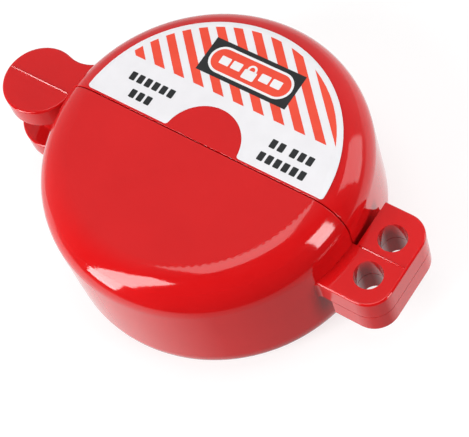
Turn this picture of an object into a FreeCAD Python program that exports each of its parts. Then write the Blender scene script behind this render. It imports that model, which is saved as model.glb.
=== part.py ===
import FreeCAD, Part
import math
import os
import Sketcher
from FreeCAD import Placement, Rotation, Vector

# Lockout cover for a valve handwheel: a closed drum in two half shells that turn on one
# hinge pin, with a two-layer tab for padlocks opposite the hinge.
# Millimetres, +Z up. The origin is on the drum's axis, at the underside of the drum.
# +X points to the padlock tab, -X to the hinge, and the halves meet in the plane y = 0.
# Both halves come from one mould: the rear one is the front one turned over about X.

# alias, value or formula, meaning
SIZES = (
    ("drum_radius", "58.5", "outer radius of the drum's wall"),
    ("drum_height", "60", "flat underside to flat top"),
    ("crown_radius", "49.2", "where the flat top or underside would meet the shoulder's arc"),
    ("shoulder_drop", "14.5", "height of the rounded shoulder"),
    ("crease_round", "12", "rounding where the flat meets the shoulder"),
    ("wall", "3", "moulded wall thickness"),
    ("seam_gap", "0.3", "play between the two closed halves"),
    ("seam_round", "0.3", "rounding of the shell's outer edge along the seam"),
    ("disc_radius", "14.5", "break-out disc in the middle of each end"),
    ("score_width", "0.8", "width of the score round a break-out disc"),
    ("score_depth", "1.9", "depth of that score, cut from inside"),
    ("hinge_reach", "74.4", "drum axis to hinge axis"),
    ("ear_radius", "14.1", "radius of a hinge ear"),
    ("ear_rise", "13.25", "end of the drum to the outer face of its ear"),
    ("ear_thick", "9.05", "thickness of a hinge ear"),
    ("neck_round", "13", "hollow radius on the side where an ear runs into the wall"),
    ("hollow_grip", "0.2", "how far such a hollow runs into the wall's outer skin"),
    ("bore_radius", "4", "blind bore in the ear's inner face"),
    ("bore_depth", "6.6", "depth of the blind bore"),
    ("snap_step", "0.45", "radial depth of the snap groove in the bore"),
    ("snap_height", "1.6", "height of the snap groove"),
    ("snap_inset", "3", "mouth of the bore to the snap groove"),
    ("tab_reach", "79.6", "drum axis to the outer edge of the padlock tab"),
    ("tab_half_width", "18.5", "half the width of the tab"),
    ("tab_thick", "9.4", "mid-height to the outer face of a tab layer"),
    ("tab_corner", "9", "outer corner radius of the tab"),
    ("tab_inner", "60.2", "free inner edge of a tab layer, clear of the other half"),
    ("root_round", "2.5", "hollow radius where the tab's side runs into the wall"),
    ("hole_radius", "5.15", "padlock hole"),
    ("hole_reach", "69.4", "drum axis to the row of padlock holes"),
    ("hole_offset", "7.7", "seam to the middle of a padlock hole"),
    ("edge_round", "0.8", "rounding of the tab's and the ear's outer edges"),
    ("witness_width", "0.5", "width of the ridge along the mould's parting line"),
    ("witness_rise", "0.35", "height of that ridge"),
    ("barrel_radius", "7", "hinge pin between the ears"),
    ("pin_play", "0.05", "radial play of the pin in its bores"),
    ("end_play", "0.3", "axial play of the hinge"),
    ("spigot_length", "6", "reach of the pin into a bore"),
    ("pin_chamfer", "0.8", "chamfer at the pin's ends"),
    ("bead_step", "0.35", "radial height of the pin's snap bead"),
    ("bead_height", "1", "height of the snap bead"),
    ("label_radius", "48.8", "outer radius of the label"),
    ("label_shift", "0.7", "drum axis to the label's centre, towards the tab"),
    ("label_inset", "0.9", "seam plane to the label's straight edge"),
    ("label_thick", "0.15", "thickness of the label"),
    ("label_lift", "0.02", "glue under the label"),
    ("label_corner", "1.2", "corner radius of the label"),
    # worked out from the sizes above
    ("half_gap", "=seam_gap / 2", "seam plane to the face of a half"),
    ("inner_radius", "=drum_radius - wall", "inside of the wall"),
    ("middle_radius", "=drum_radius - wall / 2", "middle of the wall"),
    ("shoulder_run", "=drum_radius - crown_radius", "width of the shoulder"),
    ("shoulder_round", "=(shoulder_run ^ 2 + shoulder_drop ^ 2) / (2 * shoulder_run)",
     "outer radius of the shoulder's arc, which meets the wall smoothly"),
    ("shoulder_centre", "=drum_radius - shoulder_round", "drum axis to that arc's centre"),
    ("inner_round", "=shoulder_round - wall", "inner radius of the shoulder's arc"),
    ("inner_crown", "=shoulder_centre + sqrt(inner_round ^ 2 - (shoulder_drop - wall) ^ 2)",
     "radius of the flat floor and ceiling inside"),
    ("upper_shoulder", "=drum_height - shoulder_drop", "height of the upper shoulder's foot"),
    ("crease_slope", "=(shoulder_round - shoulder_drop) / (crown_radius - shoulder_centre)",
     "tangent of half the crease's turn"),
    ("flat_radius", "=crown_radius - crease_round * crease_slope", "edge of the true flat"),
    ("crease_centre", "=drum_height - crease_round", "height of the upper crease's centre"),
    ("ceiling", "=drum_height - wall", "height of the ceiling inside"),
    ("score_inner", "=disc_radius - score_width", "inner radius of the score"),
    ("score_floor", "=wall - score_depth", "bottom of the score in the lower end"),
    ("score_roof", "=ceiling + score_depth", "bottom of the score in the upper end"),
    ("wall_at_seam", "=sqrt(middle_radius ^ 2 - half_gap ^ 2)", "middle of the wall at the seam"),
    ("mid_height", "=drum_height / 2", "plane where the two layers of the tab meet"),
    ("layer_base", "=mid_height + half_gap", "inner face of the upper layer"),
    ("layer_thick", "=tab_thick - half_gap", "thickness of a layer"),
    ("layer_top", "=mid_height + tab_thick", "outer face of the upper layer"),
    ("root_side", "=tab_half_width + root_round", "seam plane to the centre of the root's hollow"),
    ("root_from_drum", "=drum_radius + root_round - hollow_grip", "drum axis to that centre"),
    ("root_reach", "=sqrt(root_from_drum ^ 2 - root_side ^ 2)", "the same along X"),
    ("root_end", "=root_reach * (drum_radius - hollow_grip) / root_from_drum",
     "the hollow's end in the wall, along X"),
    ("root_end_side", "=root_side * (drum_radius - hollow_grip) / root_from_drum",
     "and from the seam plane"),
    ("root_foot", "=root_reach * middle_radius / root_from_drum",
     "middle of the wall behind that end, along X"),
    ("root_foot_side", "=root_side * middle_radius / root_from_drum", "and from the seam plane"),
    ("tab_straight", "=tab_reach - tab_corner", "where the tab's sides turn into corners"),
    ("tab_flat", "=tab_half_width - tab_corner", "half of the straight outer edge"),
    ("ear_face", "=ear_rise + ear_thick", "inner face of the ear, where the bore opens"),
    ("ear_inner", "=hinge_reach - sqrt(ear_radius ^ 2 - half_gap ^ 2)", "ear's end on the seam"),
    ("neck_from_hinge", "=ear_radius + neck_round", "hinge axis to the hollow's centre"),
    ("neck_from_drum", "=drum_radius + neck_round - hollow_grip", "drum axis to the hollow's centre"),
    ("neck_reach", "=(neck_from_drum ^ 2 + hinge_reach ^ 2 - neck_from_hinge ^ 2) / (2 * hinge_reach)",
     "that centre's distance from the drum axis along X"),
    ("neck_side", "=sqrt(neck_from_drum ^ 2 - neck_reach ^ 2)", "and from the seam plane"),
    ("neck_start", "=hinge_reach - (hinge_reach - neck_reach) * ear_radius / neck_from_hinge",
     "where the ear's round meets the hollow, along X"),
    ("neck_start_side", "=neck_side * ear_radius / neck_from_hinge", "and from the seam plane"),
    ("neck_end", "=neck_reach * (drum_radius - hollow_grip) / neck_from_drum",
     "the hollow's end in the wall, along X"),
    ("neck_end_side", "=neck_side * (drum_radius - hollow_grip) / neck_from_drum",
     "and from the seam plane"),
    ("neck_foot", "=neck_reach * middle_radius / neck_from_drum",
     "middle of the wall behind that end, along X"),
    ("neck_foot_side", "=neck_side * middle_radius / neck_from_drum", "and from the seam plane"),
    ("bore_floor", "=ear_face - bore_depth", "bottom of the blind bore"),
    ("groove_radius", "=bore_radius + snap_step", "radius of the snap groove"),
    ("groove_top", "=ear_face - snap_inset", "upper edge of the snap groove"),
    ("groove_bottom", "=groove_top - snap_height", "lower edge of the snap groove"),
    ("witness_half", "=witness_width / 2", "half the width of the parting line"),
    ("witness_end", "=edge_round + witness_half", "end of a parting line from the part's edge"),
    ("tab_line_start", "=tab_inner + witness_half", "inner end of the tab's parting line"),
    ("tab_line_end", "=tab_reach - witness_end", "outer end of the tab's parting line"),
    ("tab_line_run", "=tab_line_end - tab_line_start", "length of the tab's parting line"),
    ("tab_line_crest", "=layer_top + witness_rise", "crest of the tab's parting line"),
    ("ear_line_start", "=hinge_reach + ear_radius - witness_end", "outer end of the ear's line"),
    ("ear_line_run", "=ear_line_start - ear_inner - witness_end", "length of the ear's line"),
    ("ear_line_crest", "=ear_rise - witness_rise", "crest of the ear's parting line"),
    ("spigot_radius", "=bore_radius - pin_play", "pin inside a bore"),
    ("spigot_bottom", "=ear_face - spigot_length", "lower end of the pin"),
    ("other_face", "=drum_height - ear_face", "underside of the upper ear"),
    ("barrel_top", "=other_face - end_play", "shoulder under the upper ear"),
    ("spigot_top", "=other_face + spigot_length", "upper end of the pin"),
    ("tip_radius", "=spigot_radius - pin_chamfer", "radius of the pin's end faces"),
    ("tip_low", "=spigot_bottom + pin_chamfer", "where the lower chamfer ends"),
    ("tip_high", "=spigot_top - pin_chamfer", "where the upper chamfer starts"),
    ("bead_radius", "=spigot_radius + bead_step", "crest of the snap bead"),
    ("bead_half", "=bead_height / 2", "half the height of the snap bead"),
    ("low_bead", "=(groove_top + groove_bottom) / 2", "crest of the lower bead"),
    ("low_bead_foot", "=low_bead - bead_half", "lower edge of the lower bead"),
    ("low_bead_head", "=low_bead + bead_half", "upper edge of the lower bead"),
    ("high_bead", "=drum_height - low_bead", "crest of the upper bead"),
    ("high_bead_foot", "=high_bead - bead_half", "lower edge of the upper bead"),
    ("high_bead_head", "=high_bead + bead_half", "upper edge of the upper bead"),
    ("corner_level", "=label_inset + label_corner", "seam plane to the label's corner centres"),
    ("tip_centre", "=sqrt((label_radius - label_corner) ^ 2 - corner_level ^ 2)",
     "label's middle to the centre of an outer corner"),
    ("tip_end", "=tip_centre * label_radius / (label_radius - label_corner)",
     "where that corner meets the outer arc, along X"),
    ("tip_end_level", "=corner_level * label_radius / (label_radius - label_corner)",
     "and from the seam plane"),
    ("heel_centre", "=sqrt((disc_radius + label_corner) ^ 2 - corner_level ^ 2)",
     "label's middle to the centre of a corner beside the notch"),
    ("heel_end", "=heel_centre * disc_radius / (disc_radius + label_corner)",
     "where that corner meets the notch, along X"),
    ("heel_end_level", "=corner_level * disc_radius / (disc_radius + label_corner)",
     "and from the seam plane"),
    ("film_under", "=drum_height + label_lift", "underside of the film on the flat"),
    ("film_top", "=film_under + label_thick", "top of the film on the flat"),
    ("under_round", "=crease_round + label_lift", "the film's underside over the crease"),
    ("over_round", "=under_round + label_thick", "the film's top over the crease"),
    ("blank_radius", "=label_radius + label_shift + 1", "radius of the film before it is cut out"),
    ("blank_under", "=crease_centre + sqrt(under_round ^ 2 - (blank_radius - flat_radius) ^ 2)",
     "its underside at that radius"),
    ("blank_over", "=crease_centre + sqrt(over_round ^ 2 - (blank_radius - flat_radius) ^ 2)",
     "its top at that radius"),
)

COUNTER_CLOCKWISE = 1
CLOCKWISE = -1
TOLERANCE = 0.01

document = FreeCAD.newDocument("valve_lockout_cover")
sheet = document.addObject("Spreadsheet::Sheet", "sizes")


def fill_sheet():
    for row, (alias, content, meaning) in enumerate(SIZES, start=1):
        sheet.set(f"A{row}", alias)
        sheet.set(f"B{row}", content)
        sheet.set(f"C{row}", meaning)
        sheet.setAlias(f"B{row}", alias)
    document.recompute()


def amount(word):
    """The number behind an alias, negative after a minus sign."""
    if word == "0":
        return 0.0
    if word.startswith("-"):
        return -amount(word[1:])
    return float(sheet.get(word))


def reference(word):
    """The same as an expression that follows the sheet."""
    if word.startswith("-"):
        return f"-sizes.{word[1:]}"
    return f"sizes.{word}"


# Sketches

def new_sketch(body, name, role, height="0", reach="0"):
    """A sketch on one of the body's own origin planes, moved up by height and along X by reach."""
    plane = next(item for item in body.Origin.OriginFeatures if item.Role == role)
    sketch = body.newObject("Sketcher::SketchObject", name)
    sketch.AttachmentSupport = (plane, [""])
    sketch.MapMode = "FlatFace"
    if height != "0":
        sketch.setExpression("AttachmentOffset.Base.z", reference(height))
    if reach != "0":
        sketch.setExpression("AttachmentOffset.Base.x", reference(reach))
    return sketch


def fix_point(sketch, geometry, point, x_word, y_word):
    """Ties one point of a sketch to the sheet, measured from the sketch's origin."""
    for kind, word, axis in (("DistanceX", x_word, -2), ("DistanceY", y_word, -1)):
        if word == "0":
            sketch.addConstraint(Sketcher.Constraint("PointOnObject", geometry, point, axis))
            continue
        constraint = Sketcher.Constraint(kind, -1, 1, geometry, point, amount(word))
        index = sketch.addConstraint(constraint)
        sketch.setExpression(f"Constraints[{index}]", reference(word))


def fix_radius(sketch, geometry, word):
    index = sketch.addConstraint(Sketcher.Constraint("Radius", geometry, amount(word)))
    sketch.setExpression(f"Constraints[{index}]", reference(word))


def draw_circle(sketch, x_word, y_word, radius_word):
    centre = Vector(amount(x_word), amount(y_word), 0)
    geometry = sketch.addGeometry(Part.Circle(centre, Vector(0, 0, 1), amount(radius_word)))
    fix_point(sketch, geometry, 3, x_word, y_word)
    fix_radius(sketch, geometry, radius_word)


def line(x_word, y_word):
    """An outline's corner, with a straight run to the next corner."""
    return (x_word, y_word, None)


def arc(x_word, y_word, radius_word, centre, turn):
    """An outline's corner, with an arc to the next corner about the centre."""
    return (x_word, y_word, (radius_word, centre, turn))


def add_edge(sketch, start, end, bend):
    """Adds one edge, and returns it with the numbers of its first and last points."""
    if bend is None:
        return sketch.addGeometry(Part.LineSegment(start, end)), 1, 2
    radius_word, centre_words, turn = bend
    centre = Vector(amount(centre_words[0]), amount(centre_words[1]), 0)
    circle = Part.Circle(centre, Vector(0, 0, 1), amount(radius_word))
    first, last = (start, end) if turn == COUNTER_CLOCKWISE else (end, start)
    first_angle = math.atan2(first.y - centre.y, first.x - centre.x)
    last_angle = math.atan2(last.y - centre.y, last.x - centre.x)
    if last_angle <= first_angle:
        last_angle += 2 * math.pi
    geometry = sketch.addGeometry(Part.ArcOfCircle(circle, first_angle, last_angle))
    fix_radius(sketch, geometry, radius_word)
    return (geometry, 1, 2) if turn == COUNTER_CLOCKWISE else (geometry, 2, 1)


def draw_outline(sketch, corners):
    """Draws a closed outline of lines and arcs, fully tied to the sheet."""
    points = [Vector(amount(corner[0]), amount(corner[1]), 0) for corner in corners]
    edges = []
    for index, corner in enumerate(corners):
        end = points[(index + 1) % len(points)]
        edges.append(add_edge(sketch, points[index], end, corner[2]))
    for index, (geometry, first, last) in enumerate(edges):
        before, before_first, before_last = edges[index - 1]
        joined = Sketcher.Constraint("Coincident", before, before_last, geometry, first)
        sketch.addConstraint(joined)
        fix_point(sketch, geometry, first, corners[index][0], corners[index][1])


def draw_rectangle(sketch, left, right, bottom, top):
    draw_outline(sketch, [line(left, bottom), line(right, bottom), line(right, top), line(left, top)])


# Features, each compared with the solid before it

def finish_feature(body, feature, change):
    """Recomputes, and stops if the feature didn't change the volume in the way it should."""
    before = body.Shape.Volume if not body.Shape.isNull() else 0.0
    body.Tip = feature
    document.recompute()
    difference = feature.Shape.Volume - before
    if difference * change <= TOLERANCE:
        raise RuntimeError(f"{feature.Name} changed the volume by {difference:.3f}")
    if not feature.Shape.isValid():
        raise RuntimeError(f"{feature.Name} isn't valid")
    return feature


def add_pad(body, name, sketch, length, reverse=False):
    pad = body.newObject("PartDesign::Pad", name)
    pad.Profile = sketch
    pad.setExpression("Length", reference(length))
    pad.Reversed = reverse
    return finish_feature(body, pad, 1)


def add_pocket(body, name, sketch, length=None, reverse=False):
    pocket = body.newObject("PartDesign::Pocket", name)
    pocket.Profile = sketch
    pocket.Reversed = reverse
    if length is None:
        pocket.Type = "ThroughAll"
    else:
        pocket.setExpression("Length", reference(length))
    return finish_feature(body, pocket, -1)


def add_turned(body, kind, name, sketch, change):
    turned = body.newObject(kind, name)
    turned.Profile = sketch
    turned.ReferenceAxis = (sketch, ["V_Axis"])
    turned.Angle = 360
    return finish_feature(body, turned, change)


def add_round(body, name, base, edges, size, change):
    fillet = body.newObject("PartDesign::Fillet", name)
    fillet.Base = (base, edges)
    fillet.setExpression("Radius", reference(size))
    return finish_feature(body, fillet, change)


def edges_where(feature, test):
    """Names of the feature's edges whose points all pass the test."""
    names = []
    for index, edge in enumerate(feature.Shape.Edges, start=1):
        points = edge.discretize(9)
        if all(test(point) for point in points):
            names.append(f"Edge{index}")
    return names


def near(value, word):
    return abs(value - amount(word)) < TOLERANCE


def from_drum(point):
    return math.hypot(point.x, point.y)


def from_hinge(point):
    return math.hypot(point.x + amount("hinge_reach"), point.y)


# The moulding, in the front half's place: the shell at y < 0, the upper layer of the tab
# and the lower ear.

def turn_shell(body):
    sketch = new_sketch(body, "shell_section", "XZ_Plane")
    foot = ("shoulder_centre", "shoulder_drop")
    head = ("shoulder_centre", "upper_shoulder")
    draw_outline(sketch, [
        line("0", "0"),
        arc("crown_radius", "0", "shoulder_round", foot, COUNTER_CLOCKWISE),
        line("drum_radius", "shoulder_drop"),
        arc("drum_radius", "upper_shoulder", "shoulder_round", head, COUNTER_CLOCKWISE),
        line("crown_radius", "drum_height"),
        line("0", "drum_height"),
        line("0", "ceiling"),
        arc("inner_crown", "ceiling", "inner_round", head, CLOCKWISE),
        line("inner_radius", "upper_shoulder"),
        arc("inner_radius", "shoulder_drop", "inner_round", foot, CLOCKWISE),
        line("inner_crown", "wall"),
        line("0", "wall"),
    ])
    shell = add_turned(body, "PartDesign::Revolution", "shell", sketch, 1)
    crease = edges_where(shell, lambda point: near(from_drum(point), "crown_radius"))
    return add_round(body, "soft_crease", shell, crease, "crease_round", -1)


def score_discs(body):
    sketch = new_sketch(body, "score_section", "XZ_Plane")
    draw_rectangle(sketch, "score_inner", "disc_radius", "score_floor", "wall")
    draw_rectangle(sketch, "score_inner", "disc_radius", "ceiling", "score_roof")
    add_turned(body, "PartDesign::Groove", "scores", sketch, -1)


def keep_one_half(body):
    sketch = new_sketch(body, "far_side", "XY_Plane")
    draw_rectangle(sketch, "-hinge_reach", "hinge_reach", "-half_gap", "hinge_reach")
    half = add_pocket(body, "seam_cut", sketch, reverse=True)
    outer = edges_where(half, lambda point: on_outer_seam(point))
    add_round(body, "soft_seam", half, outer, "seam_round", -1)


def on_outer_seam(point):
    """Tells the shell's outer edge in the seam's face from its inner edge."""
    if not near(point.y, "-half_gap"):
        return False
    if near(point.z, "0") or near(point.z, "drum_height"):
        return True
    return outside_skin(abs(point.x), point.z)


def outside_skin(reach, height):
    """True in the outer half of the wall's thickness, from the crease outwards."""
    beyond = max(height - amount("upper_shoulder"), amount("shoulder_drop") - height, 0.0)
    past_centre = reach - amount("shoulder_centre")
    depth = math.hypot(past_centre, beyond)
    return past_centre > 0 and depth > amount("shoulder_round") - amount("wall") / 2


def break_out_disc(body, upper_end):
    height = "drum_height" if upper_end else "0"
    sketch = new_sketch(body, "opening_outline", "XY_Plane", height)
    draw_circle(sketch, "0", "0", "disc_radius")
    add_pocket(body, "stem_opening", sketch, "wall", reverse=not upper_end)


def add_tab_layer(body):
    sketch = new_sketch(body, "tab_outline", "XY_Plane", "layer_base")
    drum = ("0", "0")
    draw_outline(sketch, [
        line("tab_inner", "-half_gap"),
        line("tab_inner", "tab_half_width"),
        arc("tab_straight", "tab_half_width", "tab_corner", ("tab_straight", "tab_flat"), CLOCKWISE),
        line("tab_reach", "tab_flat"),
        arc("tab_reach", "-tab_flat", "tab_corner", ("tab_straight", "-tab_flat"), CLOCKWISE),
        line("tab_straight", "-tab_half_width"),
        arc("root_reach", "-tab_half_width", "root_round", ("root_reach", "-root_side"),
            COUNTER_CLOCKWISE),
        line("root_end", "-root_end_side"),
        arc("root_foot", "-root_foot_side", "middle_radius", drum, COUNTER_CLOCKWISE),
        line("wall_at_seam", "-half_gap"),
    ])
    add_pad(body, "tab_layer", sketch, "layer_thick")
    holes = new_sketch(body, "hole_outlines", "XY_Plane", "layer_base")
    draw_circle(holes, "hole_reach", "-hole_offset", "hole_radius")
    draw_circle(holes, "hole_reach", "hole_offset", "hole_radius")
    return add_pocket(body, "padlock_holes", holes, "layer_thick", reverse=True)


def round_tab(body, tab):
    """Rounds the outer edge of the layer's top face, between the wall and the free corner."""
    def on_rim(point):
        along_side = near(abs(point.y), "tab_half_width")
        at_front = point.x > amount("tab_straight") - TOLERANCE and abs(point.y) > amount("tab_flat")
        past_holes = point.x > amount("tab_straight") and near(point.x, "tab_reach")
        outside = point.x > amount("drum_radius") - amount("wall")
        return near(point.z, "layer_top") and outside and (along_side or at_front or past_holes)
    return add_round(body, "soft_tab", tab, edges_where(tab, on_rim), "edge_round", -1)


def add_ear(body):
    sketch = new_sketch(body, "ear_outline", "XY_Plane", "ear_rise")
    hinge = ("-hinge_reach", "0")
    drum = ("0", "0")
    draw_outline(sketch, [
        arc("-ear_inner", "-half_gap", "ear_radius", hinge, COUNTER_CLOCKWISE),
        arc("-neck_start", "-neck_start_side", "neck_round", ("-neck_reach", "-neck_side"), CLOCKWISE),
        line("-neck_end", "-neck_end_side"),
        arc("-neck_foot", "-neck_foot_side", "middle_radius", drum, CLOCKWISE),
        line("-wall_at_seam", "-half_gap"),
    ])
    ear = add_pad(body, "hinge_ear", sketch, "ear_thick")
    rim = edges_where(ear, lambda point: on_ear_rim(point))
    return add_round(body, "soft_ear", ear, rim, "edge_round", -1)


def on_ear_rim(point):
    at_face = near(point.z, "ear_rise") or near(point.z, "ear_face")
    round_part = near(from_hinge(point), "ear_radius")
    from_neck = math.hypot(point.x + amount("neck_reach"), point.y + amount("neck_side"))
    neck_part = near(from_neck, "neck_round")
    return at_face and (round_part or neck_part)


def bore_ear(body):
    sketch = new_sketch(body, "bore_section", "XZ_Plane", reach="-hinge_reach")
    draw_outline(sketch, [
        line("0", "bore_floor"),
        line("bore_radius", "bore_floor"),
        line("bore_radius", "groove_bottom"),
        line("groove_radius", "groove_bottom"),
        line("groove_radius", "groove_top"),
        line("bore_radius", "groove_top"),
        line("bore_radius", "ear_face"),
        line("0", "ear_face"),
    ])
    add_turned(body, "PartDesign::Groove", "pin_bore", sketch, -1)


def add_parting_lines(body):
    """Fine ridges along X, on the tab's outer face and on the ear's."""
    tab = new_sketch(body, "tab_line_section", "YZ_Plane", "tab_line_start")
    draw_outline(tab, [
        line("-witness_half", "layer_top"),
        line("witness_half", "layer_top"),
        line("0", "tab_line_crest"),
    ])
    add_pad(body, "tab_line", tab, "tab_line_run")
    ear = new_sketch(body, "ear_line_section", "YZ_Plane", "-ear_line_start")
    draw_outline(ear, [
        line("-witness_half", "ear_rise"),
        line("0", "ear_line_crest"),
        line("witness_half", "ear_rise"),
    ])
    add_pad(body, "ear_line", ear, "ear_line_run")


def mould_half(name, upper_end_open):
    body = document.addObject("PartDesign::Body", name)
    body.Label = name
    turn_shell(body)
    score_discs(body)
    keep_one_half(body)
    break_out_disc(body, upper_end_open)
    tab = add_tab_layer(body)
    round_tab(body, tab)
    add_ear(body)
    bore_ear(body)
    add_parting_lines(body)
    return body


def make_front_half():
    return mould_half("front_half", upper_end_open=False)


def make_rear_half():
    """The same moulding turned over about X, so its open end is the one that was on top."""
    body = mould_half("rear_half", upper_end_open=True)
    body.Placement = Placement(Vector(0, 0, amount("drum_height")), Rotation(Vector(1, 0, 0), 180))
    body.setExpression("Placement.Base.z", reference("drum_height"))
    return body


# The pin and the label

def make_hinge_pin():
    """A pin with a barrel that spaces the ears and a snap bead on each spigot."""
    body = document.addObject("PartDesign::Body", "hinge_pin")
    body.Label = "hinge_pin"
    sketch = new_sketch(body, "pin_section", "XZ_Plane")
    draw_outline(sketch, [
        line("0", "spigot_bottom"),
        line("tip_radius", "spigot_bottom"),
        line("spigot_radius", "tip_low"),
        line("spigot_radius", "low_bead_foot"),
        line("bead_radius", "low_bead"),
        line("spigot_radius", "low_bead_head"),
        line("spigot_radius", "ear_face"),
        line("barrel_radius", "ear_face"),
        line("barrel_radius", "barrel_top"),
        line("spigot_radius", "barrel_top"),
        line("spigot_radius", "high_bead_foot"),
        line("bead_radius", "high_bead"),
        line("spigot_radius", "high_bead_head"),
        line("spigot_radius", "tip_high"),
        line("tip_radius", "spigot_top"),
        line("0", "spigot_top"),
    ])
    add_turned(body, "PartDesign::Revolution", "pin", sketch, 1)
    body.Placement = Placement(Vector(-amount("hinge_reach"), 0, 0), Rotation())
    body.setExpression("Placement.Base.x", reference("-hinge_reach"))
    return body


def make_label():
    """A half-moon of printed film that follows the rear half, cut to clear the break-out disc."""
    body = document.addObject("PartDesign::Body", "label")
    body.Label = "label"
    section = new_sketch(body, "film_section", "XZ_Plane")
    crease = ("flat_radius", "crease_centre")
    draw_outline(section, [
        line("0", "film_under"),
        arc("flat_radius", "film_under", "under_round", crease, CLOCKWISE),
        line("blank_radius", "blank_under"),
        arc("blank_radius", "blank_over", "over_round", crease, COUNTER_CLOCKWISE),
        line("flat_radius", "film_top"),
        line("0", "film_top"),
    ])
    add_turned(body, "PartDesign::Revolution", "film", section, 1)
    waste = new_sketch(body, "label_outline", "XY_Plane", reach="label_shift")
    middle = ("0", "0")
    draw_rectangle(waste, "-hinge_reach", "hinge_reach", "-hinge_reach", "hinge_reach")
    draw_outline(waste, [
        arc("tip_end", "tip_end_level", "label_radius", middle, COUNTER_CLOCKWISE),
        arc("-tip_end", "tip_end_level", "label_corner", ("-tip_centre", "corner_level"),
            COUNTER_CLOCKWISE),
        line("-tip_centre", "label_inset"),
        arc("-heel_centre", "label_inset", "label_corner", ("-heel_centre", "corner_level"),
            COUNTER_CLOCKWISE),
        arc("-heel_end", "heel_end_level", "disc_radius", middle, CLOCKWISE),
        arc("heel_end", "heel_end_level", "label_corner", ("heel_centre", "corner_level"),
            COUNTER_CLOCKWISE),
        line("heel_centre", "label_inset"),
        arc("tip_centre", "label_inset", "label_corner", ("tip_centre", "corner_level"),
            COUNTER_CLOCKWISE),
    ])
    add_pocket(body, "label_cut", waste, reverse=True)
    return body


def check_document(bodies):
    """Stops if any feature failed or any sub-part isn't one sound solid."""
    for item in document.Objects:
        if "Invalid" in item.State or "Error" in item.State:
            raise RuntimeError(f"{item.Name} failed: {item.State}")
    for body in bodies:
        shape = body.Shape
        if shape.isNull() or not shape.isValid() or len(shape.Solids) != 1:
            raise RuntimeError(f"{body.Label} isn't one sound solid")
        print(f"{body.Label}: {shape.Volume / 1000:.2f} cm3, {shape.BoundBox}")


def write_parts(bodies):
    os.makedirs("parts", exist_ok=True)
    for body in bodies:
        body.Shape.exportStep(f"parts/{body.Label}.step")


fill_sheet()
sub_parts = [make_front_half(), make_rear_half(), make_hinge_pin(), make_label()]
document.recompute()
check_document(sub_parts)
write_parts(sub_parts)
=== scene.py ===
import math

import bmesh
import bpy
from mathutils import Matrix, Vector


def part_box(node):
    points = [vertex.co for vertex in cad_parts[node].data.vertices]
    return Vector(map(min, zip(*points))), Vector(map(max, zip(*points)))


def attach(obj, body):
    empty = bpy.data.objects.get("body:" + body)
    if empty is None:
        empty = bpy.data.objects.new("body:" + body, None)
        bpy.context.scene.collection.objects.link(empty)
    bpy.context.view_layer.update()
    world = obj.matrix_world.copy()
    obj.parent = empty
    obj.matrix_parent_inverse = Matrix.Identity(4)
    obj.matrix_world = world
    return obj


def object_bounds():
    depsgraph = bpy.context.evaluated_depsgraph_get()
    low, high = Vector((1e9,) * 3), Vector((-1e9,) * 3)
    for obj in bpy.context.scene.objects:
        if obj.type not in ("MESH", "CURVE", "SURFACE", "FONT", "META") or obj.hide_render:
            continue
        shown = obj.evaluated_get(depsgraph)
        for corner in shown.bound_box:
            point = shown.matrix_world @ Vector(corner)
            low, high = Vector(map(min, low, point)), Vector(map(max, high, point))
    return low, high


# The looks of a valve's lockout cover: its plastics, its printed label, a plain studio and a camera.
# Lengths are in metres unless a comment says millimetres.

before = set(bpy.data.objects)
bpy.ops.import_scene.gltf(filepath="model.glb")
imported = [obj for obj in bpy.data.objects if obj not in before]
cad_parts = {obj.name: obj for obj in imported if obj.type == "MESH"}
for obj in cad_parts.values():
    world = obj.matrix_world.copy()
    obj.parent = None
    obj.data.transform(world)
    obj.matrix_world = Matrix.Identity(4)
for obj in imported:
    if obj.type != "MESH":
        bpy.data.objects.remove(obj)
cad_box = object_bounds()

MM = 0.001
LABEL_LOW, LABEL_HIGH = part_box("label")
LABEL_X = (LABEL_LOW.x + LABEL_HIGH.x) / 2
LABEL_TOP = LABEL_HIGH.z
DRUM_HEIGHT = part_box("front_half")[1].z

# Camera: a long lens above the padlock side, rolled to its right. At azimuth 0 it looks along +Y.
# The lens and the sensor are in millimetres.
AZIMUTH = math.radians(54.285)
ELEVATION = math.radians(59.506)
ROLL = math.radians(-23.314)
DISTANCE = 573.7 * MM
PAN_RIGHT = 11.855 * MM
PAN_UP = -25.322 * MM
LENS = 131.24
SENSOR_WIDTH = 36
CLIP_START = 0.01

# Print on the label, in millimetres: x runs along the seam from the label's middle, y away from it.
STRIPE_COUNT = 11
STRIPE_PITCH = 8.35
STRIPE_WIDTH = 4.4
STRIPE_FOOT = 18.9
FIRST_STRIPE = -40.4
PRINT_RADIUS = 46.65
FOOT_END = math.sqrt(PRINT_RADIUS ** 2 - STRIPE_FOOT ** 2)
PANEL_MIDDLE = (0.45, 31.2)
PANEL_HALF = (18.55, 7.1)
CAPSULE_HALF = (16.9, 5.45)
CAPSULE_RIM = 0.9
SIGN_HEIGHT = 5.0
SIGN_BLOCK = (3.9, 3.2)
SIGN_REACH = 12.6
SIGN_CLEAR = 3.9
SIGN_GAP = 0.9
SIGN_COUNT = 2
WORD_BLOCK = (2.3, 3.4)
WORD_GAP = 0.95
# Each word's left end, its foot and its number of blocks
WORDS = (
    (-37.3, 9.9, 6),
    (-33.3, 3.9, 3),
    (21.9, 9.5, 2),
    (30.0, 9.5, 3),
    (20.7, 3.7, 6),
)
BLOCK_ROUND = 0.35
INK_RISE = 0.03
LAYER_RISE = 0.01

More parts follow.
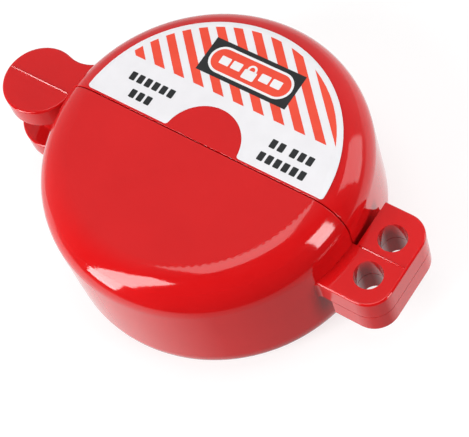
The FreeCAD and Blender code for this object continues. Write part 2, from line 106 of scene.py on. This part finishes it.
# Finishes: the darkest and the lightest colour, then a plastic's lowest and highest roughness,
# or a film's middle roughness, which varies by FILM_SPREAD each way
SHELL_RED = ((0.52, 0.005, 0.006), (0.57, 0.007, 0.008), 0.06, 0.10)
PIN_RED = ((0.46, 0.005, 0.006), (0.50, 0.008, 0.008), 0.2, 0.3)
FILM_WHITE = ((0.68, 0.67, 0.69), (0.71, 0.70, 0.72), 0.4)
INK_RED = ((0.68, 0.048, 0.020), (0.73, 0.058, 0.025), 0.4)
INK_DARK = ((0.006, 0.007, 0.008), (0.011, 0.012, 0.014), 0.45)
INK_WHITE = ((0.70, 0.69, 0.70), (0.73, 0.72, 0.73), 0.4)
FILM_SPREAD = 0.05

# The range that most of a noise texture's values lie in
NOISE_LOW = 0.3
NOISE_HIGH = 0.7

# Studio
FLOOR_REACH = 4.0
FLOOR_DROP = 0.02 * MM
FLOOR_GLOW = 0.70


# Small helpers

def link(obj):
    bpy.context.scene.collection.objects.link(obj)
    return obj


def new_mesh(name, bm):
    mesh = bpy.data.meshes.new(name)
    bm.to_mesh(mesh)
    bm.free()
    return link(bpy.data.objects.new(name, mesh))


def grey(level):
    return (level, level, level)


def away(direction, elevation):
    """The unit vector towards an angle from +X and an elevation, in degrees."""
    turn = math.radians(direction)
    rise = math.radians(elevation)
    return Vector((math.cos(turn) * math.cos(rise), math.sin(turn) * math.cos(rise), math.sin(rise)))


class Nodes:
    """A short way to write a node tree."""

    def __init__(self, tree):
        self.tree = tree
        tree.nodes.clear()

    def add(self, kind, **values):
        node = self.tree.nodes.new(kind)
        for name, value in values.items():
            if name in node.inputs:
                node.inputs[name].default_value = value
            else:
                setattr(node, name, value)
        return node

    def join(self, source, output, target, name):
        self.tree.links.new(source.outputs[output], target.inputs[name])

    def noise(self, source, output, scale, detail, roughness=0.55):
        node = self.add("ShaderNodeTexNoise", Scale=scale, Detail=detail, Roughness=roughness)
        self.join(source, output, node, "Vector")
        return node

    def spread(self, source, output, low, high, start=NOISE_LOW, end=NOISE_HIGH):
        """Maps a value's range from start to end onto the range from low to high."""
        node = self.add("ShaderNodeMapRange")
        node.inputs["From Min"].default_value = start
        node.inputs["From Max"].default_value = end
        node.inputs["To Min"].default_value = low
        node.inputs["To Max"].default_value = high
        self.join(source, output, node, "Value")
        return node

    def slope(self, place, direction, start, end):
        """Goes from 0 to 1 as a ray turns towards a direction."""
        towards = self.add("ShaderNodeVectorMath", operation="DOT_PRODUCT")
        towards.inputs[1].default_value = direction
        self.join(place, "Generated", towards, "Vector")
        return self.spread(towards, "Value", 0.0, 1.0, start=start, end=end)

    def ramp(self, source, output, low, high, start=NOISE_LOW, end=NOISE_HIGH):
        """A colour that goes from low to high as a value goes from start to end."""
        node = self.add("ShaderNodeValToRGB")
        first, last = node.color_ramp.elements
        first.position = start
        first.color = (*low, 1.0)
        last.position = end
        last.color = (*high, 1.0)
        self.join(source, output, node, "Fac")
        return node

    def bump(self, source, output, strength, distance, below=None):
        node = self.add("ShaderNodeBump", Strength=strength, Distance=distance)
        self.join(source, output, node, "Height")
        if below is not None:
            self.join(below, "Normal", node, "Normal")
        return node

    def finish(self, shader):
        output = self.add("ShaderNodeOutputMaterial")
        self.join(shader, "BSDF", output, "Surface")


def new_material(name):
    material = bpy.data.materials.new(name)
    material.use_nodes = True
    return material, Nodes(material.node_tree)


def give(obj, material):
    obj.data.materials.clear()
    obj.data.materials.append(material)


# Materials

def moulded_plastic(name, deep, bright, smoothest, roughest):
    """Glossy moulded plastic: faint colour drift, flow waviness, fine grain and hairline scratches."""
    material, nodes = new_material(name)
    place = nodes.add("ShaderNodeTexCoord")
    shader = nodes.add("ShaderNodeBsdfPrincipled")
    shader.inputs["IOR"].default_value = 1.46
    shader.inputs["Subsurface Weight"].default_value = 0.15
    shader.inputs["Subsurface Radius"].default_value = (2.5 * MM, 0.4 * MM, 0.3 * MM)
    shader.inputs["Subsurface Scale"].default_value = 1.0
    drift = nodes.noise(place, "Object", scale=28.0, detail=3.0)
    tone = nodes.ramp(drift, "Fac", deep, bright)
    nodes.join(tone, "Color", shader, "Base Color")
    handling = nodes.noise(place, "Object", scale=90.0, detail=6.0, roughness=0.65)
    gloss = nodes.spread(handling, "Fac", smoothest, roughest)
    nodes.join(gloss, "Result", shader, "Roughness")
    waves = nodes.noise(place, "Object", scale=22.0, detail=1.0)
    soft = nodes.bump(waves, "Fac", strength=0.35, distance=0.6 * MM)
    grain = nodes.noise(place, "Object", scale=1500.0, detail=2.0)
    fine = nodes.bump(grain, "Fac", strength=0.05, distance=0.05 * MM, below=soft)
    # Hairline scratches: noise drawn out along one direction
    scratch_map = nodes.add("ShaderNodeMapping")
    scratch_map.inputs["Scale"].default_value = (140.0, 3200.0, 900.0)
    scratch_map.inputs["Rotation"].default_value = (0.0, 0.0, 0.6)
    nodes.join(place, "Object", scratch_map, "Vector")
    scratches = nodes.noise(scratch_map, "Vector", scale=1.0, detail=1.0)
    hairlines = nodes.spread(scratches, "Fac", 0.0, 1.0, start=0.68, end=0.74)
    worn = nodes.bump(hairlines, "Result", strength=0.04, distance=0.02 * MM, below=fine)
    nodes.join(worn, "Normal", shader, "Normal")
    nodes.finish(shader)
    return material


def printed_film(name, low, high, roughness):
    """Vinyl label film or the ink on it: nearly even, with a faint mottle and a soft pebble."""
    material, nodes = new_material(name)
    place = nodes.add("ShaderNodeTexCoord")
    shader = nodes.add("ShaderNodeBsdfPrincipled")
    shader.inputs["IOR"].default_value = 1.45
    mottle = nodes.noise(place, "Object", scale=160.0, detail=5.0)
    tone = nodes.ramp(mottle, "Fac", low, high)
    nodes.join(tone, "Color", shader, "Base Color")
    gloss = nodes.spread(mottle, "Fac", roughness - FILM_SPREAD, roughness + FILM_SPREAD)
    nodes.join(gloss, "Result", shader, "Roughness")
    pebble = nodes.noise(place, "Object", scale=1200.0, detail=2.0)
    surface = nodes.bump(pebble, "Fac", strength=0.06, distance=0.03 * MM)
    nodes.join(surface, "Normal", shader, "Normal")
    nodes.finish(shader)
    return material


def floor_paint():
    material, nodes = new_material("floor_white")
    place = nodes.add("ShaderNodeTexCoord")
    shader = nodes.add("ShaderNodeBsdfPrincipled", Roughness=0.6)
    cloud = nodes.noise(place, "Object", scale=3.0, detail=4.0)
    tone = nodes.ramp(cloud, "Fac", grey(0.30), grey(0.33))
    nodes.join(tone, "Color", shader, "Base Color")
    shader.inputs["Specular IOR Level"].default_value = 0.1
    shader.inputs["Emission Color"].default_value = (1, 1, 1, 1)
    shader.inputs["Emission Strength"].default_value = FLOOR_GLOW
    nodes.finish(shader)
    return material


# Outlines of the print: lists of points in millimetres, counter-clockwise

def arc_points(centre, radius, start, end, steps):
    """Points on an arc, from the start angle to the end angle, in degrees."""
    points = []
    for step in range(steps + 1):
        angle = math.radians(start + (end - start) * step / steps)
        points.append((centre[0] + radius * math.cos(angle), centre[1] + radius * math.sin(angle)))
    return points


def box_around(middle, half):
    """Left, bottom, right and top of a box round a point."""
    return middle[0] - half[0], middle[1] - half[1], middle[0] + half[0], middle[1] + half[1]


def rounded_box(left, bottom, right, top, radius, steps):
    corners = (
        ((right - radius, bottom + radius), -90),
        ((right - radius, top - radius), 0),
        ((left + radius, top - radius), 90),
        ((left + radius, bottom + radius), 180),
    )
    points = []
    for centre, start in corners:
        points += arc_points(centre, radius, start, start + 90, steps)
    return points


def slant_meets_arc(foot_x):
    """Where a stripe's edge, leaning 45 degrees to -x, reaches the print's outer arc."""
    total = foot_x + STRIPE_FOOT
    x = (total - math.sqrt(2 * PRINT_RADIUS ** 2 - total ** 2)) / 2
    return x, total - x


def bearing(point):
    return math.degrees(math.atan2(point[1], point[0]))


def stripe_outline(index):
    """A leaning stripe, cut off below along the seam and above by the outer arc."""
    left = FIRST_STRIPE + index * STRIPE_PITCH
    right = left + STRIPE_WIDTH
    top_left = slant_meets_arc(left)
    if left < FOOT_END:
        feet = [(left, STRIPE_FOOT), (right, STRIPE_FOOT)]
        top_right = slant_meets_arc(right)
    else:
        # Past the end of the foot line only a sliver is left between the slant and the arc.
        feet = []
        top_right = (top_left[1], top_left[0])
    return feet + arc_points((0, 0), PRINT_RADIUS, bearing(top_right), bearing(top_left), steps=8)


def block_row(left, bottom, count, size, gap):
    """A row of plain blocks that stands for a word."""
    width, height = size
    blocks = []
    for index in range(count):
        x = left + index * (width + gap)
        blocks.append(rounded_box(x, bottom, x + width, bottom + height, BLOCK_ROUND, steps=3))
    return blocks


def padlock_sign(middle, height):
    """A plain padlock: a body, and a shackle as a bent bar."""
    x, y = middle
    body_half = 0.5 * height
    body_foot = y - 0.62 * height
    body_top = y + 0.12 * height
    body_round = 0.1 * height
    body = rounded_box(x - body_half, body_foot, x + body_half, body_top, body_round, steps=4)
    bend = (x, y + 0.22 * height)
    outer = 0.36 * height
    inner = 0.2 * height
    foot = y + 0.1 * height
    shackle = [(x + outer, foot)] + arc_points(bend, outer, 0, 180, steps=16) + [(x - outer, foot)]
    shackle += [(x - inner, foot)] + arc_points(bend, inner, 180, 0, steps=16) + [(x + inner, foot)]
    return [body, shackle]


def raised_print(name, outlines, layer, material):
    """Thin closed prisms of ink on the label, one for each outline, with their feet in its film."""
    bm = bmesh.new()
    sunk = 0.5 * LAYER_RISE * MM
    low = LABEL_TOP - sunk
    high = LABEL_TOP + (INK_RISE + layer * LAYER_RISE) * MM
    for outline in outlines:
        foot = [bm.verts.new((LABEL_X + x * MM, y * MM, low)) for x, y in outline]
        top = [bm.verts.new((LABEL_X + x * MM, y * MM, high)) for x, y in outline]
        bm.faces.new(foot[::-1])
        bm.faces.new(top)
        for corner in range(len(outline)):
            before = corner - 1
            bm.faces.new((foot[before], foot[corner], top[corner], top[before]))
    piece = new_mesh(name, bm)
    give(piece, material)
    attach(piece, "rear")


def print_label():
    red = printed_film("ink_red", *INK_RED)
    dark = printed_film("ink_dark", *INK_DARK)
    white = printed_film("ink_white", *INK_WHITE)
    stripes = [stripe_outline(index) for index in range(STRIPE_COUNT)]
    raised_print("label_stripes", stripes, layer=0, material=red)
    left, bottom, right, top = box_around(PANEL_MIDDLE, PANEL_HALF)
    panel = [(left, bottom), (right, bottom), (right, top), (left, top)]
    raised_print("label_panel", [panel], layer=1, material=dark)
    rim = rounded_box(*box_around(PANEL_MIDDLE, CAPSULE_HALF), CAPSULE_HALF[1], steps=16)
    raised_print("label_capsule_rim", [rim], layer=2, material=white)
    field_half = (CAPSULE_HALF[0] - CAPSULE_RIM, CAPSULE_HALF[1] - CAPSULE_RIM)
    field = rounded_box(*box_around(PANEL_MIDDLE, field_half), field_half[1], steps=16)
    raised_print("label_capsule", [field], layer=3, material=red)
    sign = padlock_sign(PANEL_MIDDLE, SIGN_HEIGHT)
    sign_foot = PANEL_MIDDLE[1] - SIGN_BLOCK[1] / 2
    sign += block_row(PANEL_MIDDLE[0] - SIGN_REACH, sign_foot, SIGN_COUNT, SIGN_BLOCK, SIGN_GAP)
    sign += block_row(PANEL_MIDDLE[0] + SIGN_CLEAR, sign_foot, SIGN_COUNT, SIGN_BLOCK, SIGN_GAP)
    raised_print("label_sign", sign, layer=4, material=white)
    words = []
    for word_left, word_foot, count in WORDS:
        words += block_row(word_left, word_foot, count, WORD_BLOCK, WORD_GAP)
    raised_print("label_lines", words, layer=0, material=dark)


# Studio

def make_floor():
    bm = bmesh.new()
    bmesh.ops.create_grid(bm, x_segments=1, y_segments=1, size=FLOOR_REACH)
    floor = new_mesh("floor", bm)
    floor.location.z = cad_box[0][2] - FLOOR_DROP
    give(floor, floor_paint())
    # The room below stands in for the floor in reflections and bounced light.
    floor.visible_glossy = False
    floor.visible_diffuse = False
    floor.visible_shadow = False


def make_room():
    """A room that is brighter behind the part, over a table that is darker in front of it."""
    world = bpy.data.worlds.new("studio")
    world.use_nodes = True
    nodes = Nodes(world.node_tree)
    place = nodes.add("ShaderNodeTexCoord")
    room = nodes.slope(place, away(126, 0), start=-0.2, end=0.7)
    room_tone = nodes.ramp(room, "Result", grey(0.06), grey(0.66), start=0.0, end=1.0)
    table_left = nodes.slope(place, away(-160, 0), start=0.05, end=0.45)
    table_back = nodes.slope(place, away(75, 0), start=0.1, end=0.35)
    table = nodes.add("ShaderNodeMath", operation="MAXIMUM")
    nodes.join(table_left, "Result", table, 0)
    nodes.join(table_back, "Result", table, 1)
    table_tone = nodes.ramp(table, "Value", grey(0.42), grey(0.95), start=0.0, end=1.0)
    # The table's edge: just below level behind the part, and much lower in front of it
    height = nodes.slope(place, away(-55, 72), start=-0.42, end=-0.34)
    both = nodes.add("ShaderNodeMixRGB")
    nodes.join(height, "Result", both, "Fac")
    nodes.join(table_tone, "Color", both, "Color1")
    nodes.join(room_tone, "Color", both, "Color2")
    background = nodes.add("ShaderNodeBackground", Strength=1.0)
    nodes.join(both, "Color", background, "Color")
    output = nodes.add("ShaderNodeOutputWorld")
    nodes.join(background, "Background", output, "Surface")
    bpy.context.scene.world = world


def area_light(name, direction, elevation, distance, size, power, lean=0.0):
    """A soft box at an angle from +X and an elevation, leaning in its own plane, in degrees."""
    light = bpy.data.lights.new(name, "AREA")
    light.shape = "RECTANGLE"
    light.size, light.size_y = size
    light.energy = power
    obj = link(bpy.data.objects.new(name, light))
    out = away(direction, elevation)
    facing = out.to_track_quat("Z", "Y").to_matrix()
    obj.rotation_euler = (facing @ Matrix.Rotation(math.radians(lean), 3, "Z")).to_euler()
    obj.location = Vector((0, 0, DRUM_HEIGHT / 2)) + out * distance
    obj.visible_camera = False
    return obj


def light_scene():
    area_light("softbox_left", -112, 18, distance=1.5, size=(0.50, 2.15), power=37.0, lean=-16)
    area_light("softbox_right", 6, 14, distance=0.9, size=(0.22, 0.56), power=4.4)
    area_light("fill_right", 50, 17, distance=1.2, size=(0.50, 1.0), power=4.2)
    area_light("overhead", 144, 86, distance=1.2, size=(0.56, 0.56), power=2.8)
    top_fill = area_light("top_fill", 0, 90, distance=1.6, size=(1.6, 1.6), power=7.3)
    top_fill.visible_glossy = False


def make_camera():
    back = Vector((
        math.sin(AZIMUTH) * math.cos(ELEVATION),
        -math.cos(AZIMUTH) * math.cos(ELEVATION),
        math.sin(ELEVATION),
    ))
    level = Vector((math.cos(AZIMUTH), math.sin(AZIMUTH), 0))
    upright = back.cross(level)
    right = level * math.cos(ROLL) + upright * math.sin(ROLL)
    up = upright * math.cos(ROLL) - level * math.sin(ROLL)
    target = Vector((LABEL_X, 0, DRUM_HEIGHT))
    place = target + back * DISTANCE + right * PAN_RIGHT + up * PAN_UP
    camera = bpy.data.cameras.new("camera")
    camera.sensor_width = SENSOR_WIDTH
    camera.lens = LENS
    camera.clip_start = CLIP_START
    obj = link(bpy.data.objects.new("camera", camera))
    obj.matrix_world = Matrix((
        (right.x, up.x, back.x, place.x),
        (right.y, up.y, back.y, place.y),
        (right.z, up.z, back.z, place.z),
        (0, 0, 0, 1),
    ))
    bpy.context.scene.camera = obj
    bpy.context.scene.view_settings.view_transform = "Standard"


shell_plastic = moulded_plastic("moulded_red", *SHELL_RED)
pin_plastic = moulded_plastic("pin_red", *PIN_RED)
label_film = printed_film("label_film", *FILM_WHITE)
give(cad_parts["front_half"], shell_plastic)
give(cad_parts["rear_half"], shell_plastic)
give(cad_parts["hinge_pin"], pin_plastic)
give(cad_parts["label"], label_film)
print_label()
make_floor()
make_room()
light_scene()
make_camera()
